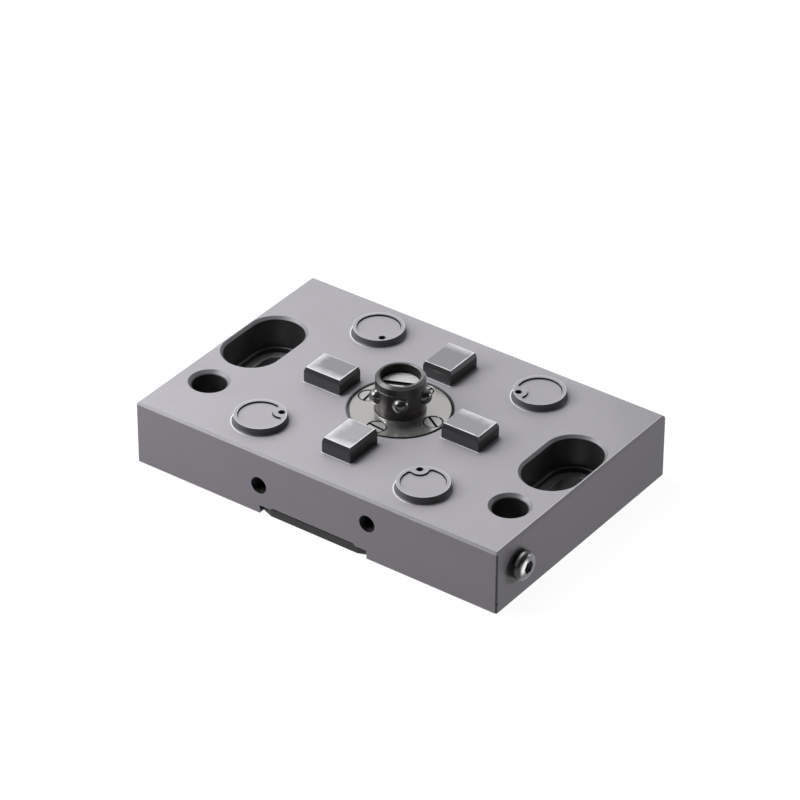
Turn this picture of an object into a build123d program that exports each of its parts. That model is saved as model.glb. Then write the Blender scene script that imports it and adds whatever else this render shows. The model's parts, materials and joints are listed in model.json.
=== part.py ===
from build123d import *
import os
from math import atan2, cos, degrees, radians, sin, sqrt

# Pneumatic chuck for electrode and workpiece pallets. All sizes are in millimetres.
# The origin is the centre of the underside, X runs along the plate and Z points up.
# At rest the chuck is clamped: disc springs hold the piston down and the balls out.

# Play and relief shared by the screws
screw_hole_gap = 0.2
screw_head_gap = 0.1
screw_rim = 0.2
screw_tip = 0.5
thread_gap = 0.05
tap_runout = 0.8
seat_gap = 0.02
slot_overrun = 0.5

# Half the height or width of the band in which an edge is picked
pick_band = 0.01

# Base plate
plate_length = 210.0
plate_width = 140.0
plate_height = 34.0
top_chamfer = 1.2
corner_chamfer = 0.8
bottom_chamfer = 0.2

# Channel along the underside, and the cover and gasket that close it
channel_width = 62.6
channel_depth = 4.6
cover_side_gap = 0.3
cover_end_gap = 1.1
cover_bevel_x = 5.8
cover_bevel_y = 2.2
mouth_relief_width = 50.0
mouth_relief_height = 1.1
mouth_relief_slant = 1.5
gasket_thickness = 0.4
cover_screw_x = 26.0
cover_screw_cylinder_margin = 8.0
cover_screw_end_margin = 9.0
cover_screw_radius = 2.0
cover_screw_head_radius = 4.0
cover_screw_length = 10.0
cover_screw_recess = 0.2
cover_screw_socket = 2.5
cover_screw_socket_depth = 1.5

# Oblong clamping pockets and round clamping holes, one of each at both ends
pocket_edge_wall = 1.6
pocket_y = 8.2
pocket_width = 28.6
pocket_length = 48.0
pocket_chamfer = 1.3
pocket_depth = 17.3
pocket_step_inset = 1.4
pocket_step_depth = 2.5
pocket_slot_width = 17.0
pocket_slot_length = 36.0
clamp_hole_y = -35.1
clamp_hole_radius = 8.5
clamp_hole_mouth_radius = 10.4

# Height pads, each with a shallow recess and an air hole that cleans the pallet
pad_spacing = 95.0
pad_radius = 12.75
pad_height = 3.7
pad_foot_fillet = 1.1
pad_recess_radius = 11.0
pad_recess_depth = 0.9
pad_notch_fillet = 1.6
air_boss_radius = 4.2
air_hole_radius = 1.5
air_hole_offset = 10.25

# Centring prongs on the X and Y axes
prong_inner = 29.6
prong_length = 21.8
prong_width = 16.8
prong_height = 8.0
prong_sink = 4.0
prong_corner = 0.5
prong_gap = 0.03
lead_in_width = 0.9
lead_in_height = 2.3
prong_screw_insets = (6.0, 16.4)
prong_screw_radius = 2.0
prong_screw_head_radius = 3.5
prong_screw_head_height = 4.0
prong_screw_seat = 9.6
prong_screw_cover = 5.0
prong_screw_socket = 3.0

# Air cylinder in the plate, and the piston that releases the clamp
cylinder_radius = 26.0
cylinder_height = 12.4
piston_gap = 0.05
piston_lift = 0.3
piston_foot = 0.4
piston_thickness = 6.0
piston_hub_radius = 9.9
piston_floor = 2.0
stroke = 3.5

# Disc springs in the piston's ring pocket
disc_count = 4
disc_thickness = 1.5
disc_inner_radius = 10.2
disc_outer_radius = 20.0
disc_pocket_radius = 20.6
disc_gap = 0.025

# Sealing rings
piston_seal_section = 1.6
rod_seal_section = 1.9
flange_seal_section = 1.56
flange_seal_radius = 14.7
seal_groove_play = 0.8
seal_gap = 0.04

# Clamping nose
flange_thickness = 6.0
flange_recess_radius = 25.6
flange_gap = 0.05
ring_groove_width = 0.9
ring_groove_depth = 1.2
flange_edge_chamfer = 0.5
nose_hub_radius = 12.0
nose_height = 19.2
nose_radius = 12.2
nose_belt = 0.1
nose_belt_height = 9.8
nose_collar = 0.45
nose_collar_height = 0.6
nose_chamfer = 1.25
nose_mouth_chamfer = 0.3
nose_bore_radius = 9.7
nose_bore_floor = 3.5
nose_screw_circle = 19.0
nose_screw_radius = 2.5
nose_screw_head_radius = 4.55
nose_screw_rim = 0.3
nose_screw_recess = 0.2
nose_screw_length = 12.0
nose_screw_slot = 1.3
nose_screw_slot_depth = 1.3
nose_screw_slot_angles = (-31.0, 62.0, 97.0, -5.0)

# Lock balls
ball_count = 5
ball_radius = 4.0
ball_height = 9.45
ball_first_angle = 18.0
ball_protrusion = 3.4
ball_hole_gap = 0.05
ball_lip_angle = 8.8

# Locking bolt
rod_radius = 6.0
rod_gap = 0.05
stud_radius = 3.95
stud_gap = 0.05
bolt_head_gap = 0.05
bolt_head_depth = 5.0
bolt_edge = 0.2
bolt_slot_width = 3.2
bolt_slot_depth = 1.0
bolt_slot_angle = 24.0
cone_gap = 0.15
neck_gap = 0.2
shoulder_gap = 0.3

# Air ports, ducts and their plugs
port_radius = 4.4
port_depth = 12.0
release_port_x = -31.5
release_port_z = 15.8
release_duct_radius = 2.5
release_duct_end_y = -6.0
release_drop_x = -29.8
release_drop_y = -8.0
release_drop_radius = 1.25
release_groove_reach = 6.8
release_groove_depth = 1.2
cleaning_port_x = 31.6
cleaning_duct_z = 20.0
cleaning_duct_radius = 1.5
cross_duct_y = -52.2
cross_duct_z = 18.5
cross_duct_radius = 2.5
duct_plug_radius = 2.0
duct_plug_length = 5.0
duct_plug_recess = 0.5
duct_plug_socket = 2.0

# Plug on the right face
side_plug_stem = 9.0
side_plug_washer = 2.0
side_plug_washer_radius = 7.0
side_plug_head_radius = 7.5
side_plug_rim = 0.5
side_plug_rim_slope = 0.15
side_plug_crown_radius = 4.3
side_plug_head_height = 3.4
side_plug_socket = 6.0
side_plug_socket_depth = 2.6

# Heights that several pieces share
cover_thickness = channel_depth - gasket_thickness
cylinder_roof = channel_depth + cylinder_height
flange_seat = plate_height - flange_thickness
nose_top = plate_height + nose_height
bore_floor = plate_height + nose_bore_floor
ball_z = plate_height + ball_height
pad_top = plate_height + pad_height
prong_seat = plate_height - prong_sink
prong_top = plate_height + prong_height
piston_underside = cover_thickness + piston_lift + piston_foot
piston_top = piston_underside + piston_thickness
spring_seat = piston_underside + piston_floor

# Places that several pieces share
clamp_x = plate_length / 2 - pocket_edge_wall - pocket_chamfer - pocket_width / 2
prong_angles = (0, 90, 180, 270)
prong_screw_radii = [prong_inner + inset for inset in prong_screw_insets]
prong_screw_points = [
    (reach * cos(radians(angle)), reach * sin(radians(angle)))
    for angle in prong_angles
    for reach in prong_screw_radii
]
cover_screw_y = (
    cylinder_radius + cover_screw_cylinder_margin,
    plate_width / 2 - cover_screw_end_margin,
)
cover_screw_points = [
    (side * cover_screw_x, end * y)
    for side in (-1, 1)
    for end in (-1, 1)
    for y in cover_screw_y
]
nose_screw_points = [
    (nose_screw_circle * cos(radians(angle)), nose_screw_circle * sin(radians(angle)))
    for angle in prong_angles
]
pad_signs = [(x_sign, y_sign) for x_sign in (-1, 1) for y_sign in (-1, 1)]
air_duct_offset = pad_spacing / 2 - air_hole_offset * sin(radians(45))
flange_radius = flange_recess_radius - ring_groove_width
ball_angles = [ball_first_angle + turn * 360 / ball_count for turn in range(ball_count)]
ball_centre_radius = nose_radius + ball_protrusion - ball_radius
release_groove_centre = release_drop_x + release_groove_reach / 2
bottom_align = (Align.CENTER, Align.CENTER, Align.MIN)
top_align = (Align.CENTER, Align.CENTER, Align.MAX)

os.makedirs("parts", exist_ok=True)


def drill(plane, points, radius, depth):
    """Cut round holes into the open part, from a plane against its normal."""
    with BuildSketch(plane) as mouths:
        with Locations(*points):
            Circle(radius)
    extrude(mouths.sketch, amount=-depth, mode=Mode.SUBTRACT)


def cut_socket(plane, points, across_flats, depth):
    """Cut hexagon sockets into the open part, from a plane against its normal."""
    with BuildSketch(plane) as sockets:
        with Locations(*points):
            RegularPolygon(across_flats / 2, 6, major_radius=False)
    extrude(sockets.sketch, amount=-depth, mode=Mode.SUBTRACT)


def countersunk_screw(head_radius, rim, shank_radius, length):
    """A countersunk screw without its drive, with the top of its head at z = 0."""
    neck = rim + head_radius - shank_radius
    with BuildPart() as screw:
        with BuildSketch(Plane.XZ):
            with BuildLine():
                Polyline(
                    (0, 0),
                    (head_radius, 0),
                    (head_radius, -rim),
                    (shank_radius, -neck),
                    (shank_radius, screw_tip - length),
                    (shank_radius - screw_tip, -length),
                    (0, -length),
                    close=True,
                )
            make_face()
        revolve(axis=Axis.Z)
    return screw.part


# Base plate with its pads
with BuildPart() as base_plate:
    Box(plate_length, plate_width, plate_height, align=bottom_align)
    chamfer(base_plate.edges().filter_by(Axis.Z), corner_chamfer)
    chamfer(base_plate.faces().sort_by(Axis.Z)[-1].edges(), top_chamfer)
    chamfer(base_plate.faces().sort_by(Axis.Z)[0].edges(), bottom_chamfer)

    # Height pads with a rounded foot
    with BuildSketch(Plane.XY.offset(plate_height)):
        with GridLocations(pad_spacing, pad_spacing, 2, 2):
            Circle(pad_radius)
    extrude(amount=pad_height)
    fillet(
        base_plate.edges()
        .filter_by(GeomType.CIRCLE)
        .filter_by_position(Axis.Z, plate_height - pick_band, plate_height + pick_band),
        pad_foot_fillet,
    )

    # Each recess leaves a boss on the side towards the nose, for the air hole
    for x_sign, y_sign in pad_signs:
        pad_centre = (x_sign * pad_spacing / 2, y_sign * pad_spacing / 2)
        air_hole = (x_sign * air_duct_offset, y_sign * air_duct_offset)
        with BuildSketch(Plane.XY.offset(pad_top)) as recess:
            with Locations(pad_centre):
                Circle(pad_recess_radius)
            with Locations(air_hole):
                Circle(air_boss_radius, mode=Mode.SUBTRACT)
            fillet(recess.vertices(), pad_notch_fillet)
        extrude(amount=-pad_recess_depth, mode=Mode.SUBTRACT)
        drill(Plane.XY.offset(pad_top), [air_hole], air_hole_radius, pad_top - cleaning_duct_z)

    # Seats of the prongs, with the screw holes from below
    for angle in prong_angles:
        seat_centre = prong_inner + prong_length / 2
        with BuildSketch(Plane.XY.offset(plate_height).rotated((0, 0, angle))):
            with Locations((seat_centre, 0)):
                RectangleRounded(
                    prong_length + 2 * prong_gap,
                    prong_width + 2 * prong_gap,
                    prong_corner + prong_gap,
                )
        extrude(amount=-prong_sink, mode=Mode.SUBTRACT)
    drill(
        Plane.XY.offset(prong_seat),
        prong_screw_points,
        prong_screw_radius + screw_hole_gap,
        prong_seat - prong_screw_seat,
    )
    drill(
        Plane.XY.offset(prong_screw_seat),
        prong_screw_points,
        prong_screw_head_radius + screw_head_gap,
        prong_screw_seat,
    )

    # Shallow relief over both mouths of the channel
    with BuildSketch(Plane.XZ) as relief:
        with BuildLine():
            relief_half = mouth_relief_width / 2
            relief_roof = channel_depth + mouth_relief_height
            Polyline(
                (-relief_half, 0),
                (-relief_half, channel_depth),
                (mouth_relief_slant - relief_half, relief_roof),
                (relief_half - mouth_relief_slant, relief_roof),
                (relief_half, channel_depth),
                (relief_half, 0),
                close=True,
            )
        make_face()
    for side in (-1, 1):
        mouth = relief.sketch.moved(Location((0, side * plate_width / 2, 0)))
        extrude(mouth, amount=side * cover_end_gap, mode=Mode.SUBTRACT)

    # Channel, air cylinder and the stepped seat of the nose
    with Locations((0, 0, 0)):
        Box(channel_width, plate_width, channel_depth, align=bottom_align, mode=Mode.SUBTRACT)
        Cylinder(cylinder_radius, cylinder_roof, align=bottom_align, mode=Mode.SUBTRACT)
        Cylinder(
            nose_hub_radius + flange_gap, plate_height, align=bottom_align, mode=Mode.SUBTRACT
        )
    with Locations((0, 0, plate_height)):
        Cylinder(flange_recess_radius, flange_thickness, align=top_align, mode=Mode.SUBTRACT)
    with BuildSketch(Plane.XY.offset(flange_seat)):
        Circle(flange_seal_radius + flange_seal_section * seal_groove_play)
        Circle(flange_seal_radius - flange_seal_section * seal_groove_play, mode=Mode.SUBTRACT)
    extrude(amount=-flange_seal_section - seal_gap, mode=Mode.SUBTRACT)
    drill(
        Plane.XY.offset(flange_seat),
        nose_screw_points,
        nose_screw_radius + thread_gap,
        nose_screw_length - flange_thickness + tap_runout,
    )
    cover_tap_end = cover_screw_recess + cover_screw_length + tap_runout
    drill(
        Plane.XY.offset(cover_tap_end),
        cover_screw_points,
        cover_screw_radius + thread_gap,
        cover_tap_end,
    )

    # Clamping pockets: a chamfered mouth, a ledge, a step and a slot right through
    pocket_centres = [(-clamp_x, pocket_y), (clamp_x, pocket_y)]
    pocket_stages = (
        (pocket_length, pocket_width, pocket_depth),
        (
            pocket_length - 2 * pocket_step_inset,
            pocket_width - 2 * pocket_step_inset,
            pocket_depth + pocket_step_depth,
        ),
        (pocket_slot_length, pocket_slot_width, plate_height),
    )
    for length, width, depth in pocket_stages:
        with BuildSketch(Plane.XY.offset(plate_height)):
            with Locations(*pocket_centres):
                SlotOverall(length, width, rotation=90)
        extrude(amount=-depth, mode=Mode.SUBTRACT)
    pocket_mouths = (
        base_plate.edges()
        .filter_by_position(Axis.Z, plate_height - pick_band, plate_height + pick_band)
        .filter_by(lambda edge: abs(abs(edge.center().X) - clamp_x) < pocket_width / 2 + pick_band)
        .filter_by(lambda edge: abs(edge.center().Y - pocket_y) < pocket_length / 2 + pick_band)
    )
    chamfer(pocket_mouths, pocket_chamfer)
    with Locations(
        (-clamp_x, clamp_hole_y, plate_height),
        (clamp_x, clamp_hole_y, plate_height),
    ):
        CounterSinkHole(clamp_hole_radius, clamp_hole_mouth_radius, plate_height, 90)

    # Release air: a port in the front face, a duct and a drop to the channel
    front_face = Plane.XZ.offset(plate_width / 2)
    drill(front_face, [(release_port_x, release_port_z)], port_radius, port_depth)
    drill(
        front_face,
        [(release_port_x, release_port_z)],
        release_duct_radius,
        plate_width / 2 + release_duct_end_y,
    )
    drill(
        Plane.XY.offset(release_port_z),
        [(release_drop_x, release_drop_y)],
        release_drop_radius,
        release_port_z,
    )

    # Cleaning air: a port, a cross duct from the right face and ducts under the pads
    drill(front_face, [(cleaning_port_x, cleaning_duct_z)], port_radius, port_depth)
    drill(
        front_face,
        [(cleaning_port_x, cleaning_duct_z)],
        cross_duct_radius,
        plate_width / 2 + cross_duct_y,
    )
    right_face = Plane.YZ.offset(plate_length / 2)
    drill(right_face, [(cross_duct_y, cross_duct_z)], port_radius, side_plug_stem + tap_runout)
    drill(
        right_face,
        [(cross_duct_y, cross_duct_z)],
        cross_duct_radius,
        plate_length / 2 - cleaning_port_x,
    )

    # These planes look into the plate, so the depths are negative
    back_inward = Plane.XZ.offset(-plate_width / 2)
    left_inward = Plane.YZ.offset(-plate_length / 2)
    duct_runs = (
        (back_inward, (air_duct_offset, cleaning_duct_z), plate_width / 2 - cross_duct_y),
        (back_inward, (-air_duct_offset, cleaning_duct_z), plate_width / 2 + air_duct_offset),
        (left_inward, (air_duct_offset, cleaning_duct_z), plate_length / 2 + air_duct_offset),
    )
    for inward_plane, point, run in duct_runs:
        drill(inward_plane, [point], cleaning_duct_radius, -run)
        drill(
            inward_plane,
            [point],
            duct_plug_radius + thread_gap,
            -duct_plug_recess - duct_plug_length - tap_runout,
        )
base_plate.part.label = "base_plate"
export_step(base_plate.part, "parts/base_plate.step")

# Centring prongs: a ground block, tapered round its top, sunk into the plate
for number, angle in enumerate(prong_angles, start=1):
    with BuildPart() as centring_prong:
        prong_plane = Plane.XY.offset(prong_seat).rotated((0, 0, angle))
        with BuildSketch(prong_plane):
            with Locations((prong_inner + prong_length / 2, 0)):
                RectangleRounded(prong_length, prong_width, prong_corner)
        extrude(amount=prong_sink + prong_height - lead_in_height)
        with BuildSketch(Plane.XY.offset(prong_top - lead_in_height).rotated((0, 0, angle))):
            with Locations((prong_inner + prong_length / 2, 0)):
                RectangleRounded(prong_length, prong_width, prong_corner)
        extrude(amount=lead_in_height, taper=degrees(atan2(lead_in_width, lead_in_height)))
        drill(
            prong_plane,
            [(reach, 0) for reach in prong_screw_radii],
            prong_screw_radius + thread_gap,
            -(prong_sink + prong_height - prong_screw_cover + tap_runout),
        )
    centring_prong.part.label = f"centring_prong_{number}"
    export_step(centring_prong.part, f"parts/centring_prong_{number}.step")

# Socket screws that hold the prongs, two in each, from the underside
with BuildPart() as prong_screws:
    with Locations(*[(x, y, prong_screw_seat) for x, y in prong_screw_points]):
        Cylinder(prong_screw_head_radius, prong_screw_head_height, align=top_align)
        Cylinder(
            prong_screw_radius,
            prong_top - prong_screw_cover - prong_screw_seat,
            align=bottom_align,
        )
    cut_socket(
        Plane.XY.offset(prong_screw_seat - prong_screw_head_height),
        prong_screw_points,
        prong_screw_socket,
        -prong_screw_head_height / 2,
    )
prong_screws.part.label = "prong_screws"
export_step(prong_screws.part, "parts/prong_screws.step")

# Clamping nose: one turned piece with its flange, guide bore and ball holes
with BuildPart() as clamping_nose:
    guide_radius = rod_radius + rod_gap
    rod_groove_radius = rod_radius + rod_gap + rod_seal_section + seal_gap
    rod_groove_middle = (cylinder_roof + flange_seat) / 2
    rod_groove_half = rod_seal_section * seal_groove_play
    belt_radius = nose_radius + nose_belt
    belt_bottom = ball_z - nose_belt_height / 2
    belt_top = ball_z + nose_belt_height / 2
    collar_radius = nose_radius + nose_collar
    collar_top = plate_height + nose_collar_height
    groove_floor = plate_height - ring_groove_depth
    flange_outer = flange_recess_radius - flange_gap
    with BuildSketch(Plane.XZ):
        with BuildLine():
            Polyline(
                (guide_radius, cylinder_roof),
                (nose_hub_radius, cylinder_roof),
                (nose_hub_radius, flange_seat),
                (flange_outer, flange_seat),
                (flange_outer, groove_floor),
                (flange_radius, groove_floor),
                (flange_radius, plate_height - flange_edge_chamfer),
                (flange_radius - flange_edge_chamfer, plate_height),
                (collar_radius, plate_height),
                (collar_radius, collar_top),
                (nose_radius, collar_top),
                (nose_radius, belt_bottom),
                (belt_radius, belt_bottom + nose_belt),
                (belt_radius, belt_top - nose_belt),
                (nose_radius, belt_top),
                (nose_radius, nose_top - nose_chamfer),
                (nose_radius - nose_chamfer, nose_top),
                (nose_bore_radius + nose_mouth_chamfer, nose_top),
                (nose_bore_radius, nose_top - nose_mouth_chamfer),
                (nose_bore_radius, bore_floor),
                (guide_radius, bore_floor),
                (guide_radius, rod_groove_middle + rod_groove_half),
                (rod_groove_radius, rod_groove_middle + rod_groove_half),
                (rod_groove_radius, rod_groove_middle - rod_groove_half),
                (guide_radius, rod_groove_middle - rod_groove_half),
                close=True,
            )
        make_face()
    revolve(axis=Axis.Z)

    # Ball holes, with a lip that keeps each ball from falling out
    hole_start = rod_radius + rod_gap
    lip_start = ball_centre_radius + ball_hole_gap
    lip_length = belt_radius - lip_start + ball_hole_gap
    for angle in ball_angles:
        outward = (cos(radians(angle)), sin(radians(angle)), 0)
        ball_plane = Plane(origin=(0, 0, ball_z), x_dir=(0, 0, 1), z_dir=outward)
        with BuildSketch(ball_plane.offset(hole_start)):
            Circle(ball_radius + ball_hole_gap)
        extrude(amount=lip_start - hole_start, mode=Mode.SUBTRACT)
        with BuildSketch(ball_plane.offset(lip_start)):
            Circle(ball_radius + ball_hole_gap)
        extrude(amount=lip_length, taper=ball_lip_angle, mode=Mode.SUBTRACT)

    nose_screw_mouth = nose_screw_head_radius + nose_screw_recess + nose_screw_rim + seat_gap
    with Locations(*[(x, y, plate_height) for x, y in nose_screw_points]):
        CounterSinkHole(nose_screw_radius + screw_hole_gap, nose_screw_mouth, flange_thickness, 90)
clamping_nose.part.label = "clamping_nose"
export_step(clamping_nose.part, "parts/clamping_nose.step")

# Slotted countersunk screws of the nose, each turned to its own angle
with BuildPart() as nose_screws:
    nose_screw_top = plate_height - nose_screw_recess
    nose_screw = countersunk_screw(
        nose_screw_head_radius, nose_screw_rim, nose_screw_radius, nose_screw_length
    )
    with Locations(*[(x, y, nose_screw_top) for x, y in nose_screw_points]):
        add(nose_screw)
    slot_length = 2 * (nose_screw_head_radius + slot_overrun)
    for (x, y), angle in zip(nose_screw_points, nose_screw_slot_angles):
        with BuildSketch(Plane.XY.offset(nose_screw_top)):
            with Locations((x, y)):
                Rectangle(slot_length, nose_screw_slot, rotation=angle)
        extrude(amount=-nose_screw_slot_depth, mode=Mode.SUBTRACT)
nose_screws.part.label = "nose_screws"
export_step(nose_screws.part, "parts/nose_screws.step")

# Sealing rings under the flange, round the rod and round the piston
with BuildPart() as nose_flange_seal:
    with Locations((0, 0, flange_seat - flange_seal_section / 2 - seal_gap / 2)):
        Torus(flange_seal_radius, flange_seal_section / 2)
nose_flange_seal.part.label = "nose_flange_seal"
export_step(nose_flange_seal.part, "parts/nose_flange_seal.step")

with BuildPart() as rod_seal:
    with Locations((0, 0, (cylinder_roof + flange_seat) / 2)):
        Torus(rod_radius + rod_gap + rod_seal_section / 2, rod_seal_section / 2)
rod_seal.part.label = "rod_seal"
export_step(rod_seal.part, "parts/rod_seal.step")

with BuildPart() as piston_seal:
    with Locations((0, 0, piston_underside + piston_thickness / 2)):
        Torus(cylinder_radius - seal_gap - piston_seal_section / 2, piston_seal_section / 2)
piston_seal.part.label = "piston_seal"
export_step(piston_seal.part, "parts/piston_seal.step")

# Lock balls, out against their lips while the chuck is clamped
for number, angle in enumerate(ball_angles, start=1):
    with BuildPart() as lock_ball:
        ball_x = ball_centre_radius * cos(radians(angle))
        ball_y = ball_centre_radius * sin(radians(angle))
        with Locations((ball_x, ball_y, ball_z)):
            Sphere(ball_radius)
    lock_ball.part.label = f"lock_ball_{number}"
    export_step(lock_ball.part, f"parts/lock_ball_{number}.step")

# Locking bolt: its cone pushes the balls out as the springs pull it down
with BuildPart() as locking_bolt:
    head_radius = nose_bore_radius - bolt_head_gap
    head_top = nose_top - bolt_head_depth
    cone_offset = sqrt(2) * (ball_radius + cone_gap) + ball_z - ball_centre_radius
    released_reach = ball_centre_radius - stroke
    neck_radius = released_reach - ball_radius - neck_gap
    shoulder_drop = sqrt((ball_radius + shoulder_gap) ** 2 - (released_reach - rod_radius) ** 2)
    shoulder = ball_z - stroke - shoulder_drop
    stud_bottom = piston_underside + stud_gap
    with BuildSketch(Plane.XZ):
        with BuildLine():
            Polyline(
                (0, stud_bottom),
                (stud_radius, stud_bottom),
                (stud_radius, piston_top),
                (rod_radius, piston_top),
                (rod_radius, shoulder - bolt_edge),
                (rod_radius - bolt_edge, shoulder),
                (neck_radius, shoulder),
                (neck_radius, neck_radius + cone_offset),
                (head_radius, head_radius + cone_offset),
                (head_radius, head_top - bolt_edge),
                (head_radius - bolt_edge, head_top),
                (0, head_top),
                close=True,
            )
        make_face()
    revolve(axis=Axis.Z)
    with BuildSketch(Plane.XY.offset(head_top)):
        Rectangle(2 * (head_radius + slot_overrun), bolt_slot_width, rotation=bolt_slot_angle)
    extrude(amount=-bolt_slot_depth, mode=Mode.SUBTRACT)
locking_bolt.part.label = "locking_bolt"
export_step(locking_bolt.part, "parts/locking_bolt.step")

# Piston: a hub for the bolt, a ring pocket for the springs and a sealed rim
with BuildPart() as piston:
    rim_radius = cylinder_radius - piston_gap
    piston_bore = stud_radius + stud_gap
    seal_floor = cylinder_radius - 2 * seal_gap - piston_seal_section
    seal_middle = piston_underside + piston_thickness / 2
    seal_half = piston_seal_section * seal_groove_play
    with BuildSketch(Plane.XZ):
        with BuildLine():
            Polyline(
                (piston_bore, piston_underside - piston_foot),
                (piston_hub_radius, piston_underside - piston_foot),
                (piston_hub_radius, piston_underside),
                (rim_radius, piston_underside),
                (rim_radius, seal_middle - seal_half),
                (seal_floor, seal_middle - seal_half),
                (seal_floor, seal_middle + seal_half),
                (rim_radius, seal_middle + seal_half),
                (rim_radius, piston_top),
                (disc_pocket_radius, piston_top),
                (disc_pocket_radius, spring_seat),
                (piston_hub_radius, spring_seat),
                (piston_hub_radius, piston_top),
                (piston_bore, piston_top),
                close=True,
            )
        make_face()
    revolve(axis=Axis.Z)
piston.part.label = "piston"
export_step(piston.part, "parts/piston.step")

# Disc springs: conical washers stacked face to face between the piston and the web
with BuildPart() as disc_springs:
    disc_pitch = (cylinder_roof - spring_seat) / disc_count
    disc_cone = disc_pitch - disc_thickness - disc_gap
    for index in range(disc_count):
        disc_bottom = spring_seat + index * disc_pitch + disc_gap / 2
        inner_lift = disc_cone if index % 2 else 0
        outer_lift = disc_cone - inner_lift
        with BuildSketch(Plane.XZ):
            with BuildLine():
                Polyline(
                    (disc_inner_radius, disc_bottom + inner_lift),
                    (disc_outer_radius, disc_bottom + outer_lift),
                    (disc_outer_radius, disc_bottom + outer_lift + disc_thickness),
                    (disc_inner_radius, disc_bottom + inner_lift + disc_thickness),
                    close=True,
                )
            make_face()
        revolve(axis=Axis.Z)
disc_springs.part.label = "disc_springs"
export_step(disc_springs.part, "parts/disc_springs.step")

# Bottom cover with bevelled corners and a groove that leads air under the piston
cover_width = channel_width - 2 * cover_side_gap
cover_length = plate_width - 2 * cover_end_gap
with BuildPart() as bottom_cover:
    with BuildSketch():
        with BuildLine():
            half_width = cover_width / 2
            half_length = cover_length / 2
            Polyline(
                (half_width - cover_bevel_x, -half_length),
                (half_width, cover_bevel_y - half_length),
                (half_width, half_length - cover_bevel_y),
                (half_width - cover_bevel_x, half_length),
                (cover_bevel_x - half_width, half_length),
                (-half_width, half_length - cover_bevel_y),
                (-half_width, cover_bevel_y - half_length),
                (cover_bevel_x - half_width, -half_length),
                close=True,
            )
        make_face()
    extrude(amount=cover_thickness)
    with BuildSketch(Plane.XY.offset(cover_thickness)):
        with Locations((release_groove_centre, release_drop_y)):
            SlotCenterToCenter(release_groove_reach, 2 * release_drop_radius)
    extrude(amount=-release_groove_depth, mode=Mode.SUBTRACT)
    cover_screw_mouth = cover_screw_head_radius + cover_screw_recess + screw_rim + seat_gap
    with Locations(Plane.XY.rotated((180, 0, 0))):
        with Locations(*[(x, -y, 0) for x, y in cover_screw_points]):
            CounterSinkHole(
                cover_screw_radius + screw_hole_gap, cover_screw_mouth, cover_thickness, 90
            )
bottom_cover.part.label = "bottom_cover"
export_step(bottom_cover.part, "parts/bottom_cover.step")

# Gasket between the cover and the roof of the channel
with BuildPart() as cover_gasket:
    with BuildSketch(Plane.XY.offset(cover_thickness)):
        Rectangle(cover_width, cover_length - 2 * cover_bevel_y)
        Circle(cylinder_radius, mode=Mode.SUBTRACT)
        with Locations(*cover_screw_points):
            Circle(cover_screw_radius + screw_hole_gap, mode=Mode.SUBTRACT)
        with Locations((release_groove_centre, release_drop_y)):
            SlotCenterToCenter(release_groove_reach, 2 * release_drop_radius, mode=Mode.SUBTRACT)
    extrude(amount=gasket_thickness)
cover_gasket.part.label = "cover_gasket"
export_step(cover_gasket.part, "parts/cover_gasket.step")

# Countersunk socket screws of the bottom cover
with BuildPart() as cover_screws:
    cover_screw = countersunk_screw(
        cover_screw_head_radius, screw_rim, cover_screw_radius, cover_screw_length
    )
    with Locations(Plane.XY.offset(cover_screw_recess).rotated((180, 0, 0))):
        with Locations(*[(x, -y, 0) for x, y in cover_screw_points]):
            add(cover_screw)
    cut_socket(
        Plane.XY.offset(cover_screw_recess),
        cover_screw_points,
        cover_screw_socket,
        -cover_screw_socket_depth,
    )
cover_screws.part.label = "cover_screws"
export_step(cover_screws.part, "parts/cover_screws.step")

# Domed socket plug on the right face, and the washer that seals it
with BuildPart() as side_plug:
    head_seat = plate_length / 2 + side_plug_washer
    crown = head_seat + side_plug_head_height
    stem_end = plate_length / 2 - side_plug_stem
    plug_axis = Axis((0, cross_duct_y, cross_duct_z), (1, 0, 0))
    plug_plane = Plane(
        origin=(0, cross_duct_y, cross_duct_z), x_dir=(1, 0, 0), z_dir=(0, -1, 0)
    )
    with BuildSketch(plug_plane):
        with BuildLine():
            Line((stem_end, 0), (stem_end, port_radius - thread_gap))
            Line((stem_end, port_radius - thread_gap), (head_seat, port_radius - thread_gap))
            Line((head_seat, port_radius - thread_gap), (head_seat, side_plug_head_radius))
            Line(
                (head_seat, side_plug_head_radius),
                (head_seat + side_plug_rim, side_plug_head_radius),
            )
            TangentArc(
                (head_seat + side_plug_rim, side_plug_head_radius),
                (crown, side_plug_crown_radius),
                tangent=(1, -side_plug_rim_slope),
            )
            Line((crown, side_plug_crown_radius), (crown, 0))
            Line((crown, 0), (stem_end, 0))
        make_face()
    revolve(axis=plug_axis)
    cut_socket(
        Plane.YZ.offset(crown),
        [(cross_duct_y, cross_duct_z)],
        side_plug_socket,
        side_plug_socket_depth,
    )
side_plug.part.label = "side_plug"
export_step(side_plug.part, "parts/side_plug.step")

with BuildPart() as side_plug_seal:
    with BuildSketch(Plane.YZ.offset(plate_length / 2)):
        with Locations((cross_duct_y, cross_duct_z)):
            Circle(side_plug_washer_radius)
            Circle(port_radius, mode=Mode.SUBTRACT)
    extrude(amount=side_plug_washer)
side_plug_seal.part.label = "side_plug_seal"
export_step(side_plug_seal.part, "parts/side_plug_seal.step")

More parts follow.
